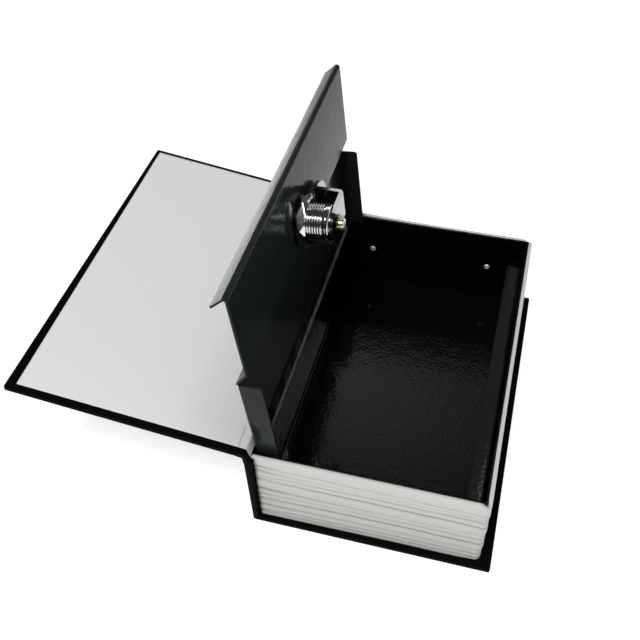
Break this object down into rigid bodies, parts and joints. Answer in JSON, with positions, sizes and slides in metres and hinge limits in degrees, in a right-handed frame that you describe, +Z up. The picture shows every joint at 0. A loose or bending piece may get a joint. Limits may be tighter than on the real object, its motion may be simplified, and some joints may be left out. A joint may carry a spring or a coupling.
{
  "type": "book diversion safe",
  "caption": "Hardback book that hides a black steel box with a hinged, key-locked lid, shown lying open with its lid up.",
  "frame": {"origin": "centre of the underside of the back cover, on the surface that the book lies on", "axes": "+X from the spine to the fore edge, +Y along the spine from the near end to the far end, +Z up"},
  "size_m": [0.2274, 0.18, 0.1465],
  "materials": {
    "leatherette": "fine grained black book cloth, satin",
    "greyboard": "raw grey binding board",
    "paper": "smooth white endpaper",
    "page_plastic": "moulded off-white, ribbed like page edges",
    "rivet_metal": "bare blind rivets",
    "black_steel": "glossy black powder coat with orange peel",
    "zinc": "bright zinc plate",
    "chrome": "bright chrome plate",
    "brass": "yellow passivated, satin"
  },
  "bodies": {
    "book_body": {"back_cover_skin": "leatherette", "back_cover_board": "greyboard", "back_cover_lining": "paper", "spine_board": "greyboard", "spine_skin": "leatherette", "page_block": "page_plastic", "page_rivet_tail_spine": "rivet_metal", "page_rivet_tail_fore": "rivet_metal", "page_rivet_head_spine": "rivet_metal", "page_rivet_head_fore": "rivet_metal", "tub_pan": "black_steel", "tub_tail_wall": "black_steel", "tub_head_wall": "black_steel", "lid_ledge": "black_steel", "hinge_leaf_tub": "black_steel", "hinge_pin": "zinc"},
    "lid": {"lid_panel": "black_steel", "hinge_leaf_lid": "black_steel", "lock_barrel": "chrome", "lock_washer": "zinc", "lock_nut": "chrome"},
    "lock_cylinder": {"lock_plug": "brass", "wafer_1": "brass", "wafer_2": "brass", "wafer_3": "brass", "wafer_4": "brass", "wafer_5": "brass", "wafer_spring_1": "zinc", "wafer_spring_2": "zinc", "wafer_spring_3": "zinc", "wafer_spring_4": "zinc", "wafer_spring_5": "zinc", "lock_cam": "zinc", "cam_washer": "zinc", "cam_screw": "brass"},
    "front_cover": {"joint_strip": "leatherette", "front_cover_skin": "leatherette", "front_cover_board": "greyboard", "front_endpaper": "paper"}
  },
  "joints": [
    {"name": "lid_hinge", "type": "hinge", "parent": "book_body", "child": "lid", "pos_m": [-0.0527, 0, 0.04594], "axis": [0, 1, 0], "range_deg": [0, 94.8]},
    {"name": "lock_turn", "type": "hinge", "parent": "lid", "child": "lock_cylinder", "pos_m": [-0.05857, 0, 0.11587], "axis": [0.9965, 0, 0.0837], "range_deg": [0, 90]},
    {"name": "cover_close", "type": "hinge", "parent": "book_body", "child": "front_cover", "pos_m": [-0.0573, 0, 0.0538], "axis": [0, 1, 0], "range_deg": [0, 171.6]}
  ],
  "couplings": [
    {"joint": "cover_close", "follows": "lid_hinge", "ratio": 1.81}
  ]
}
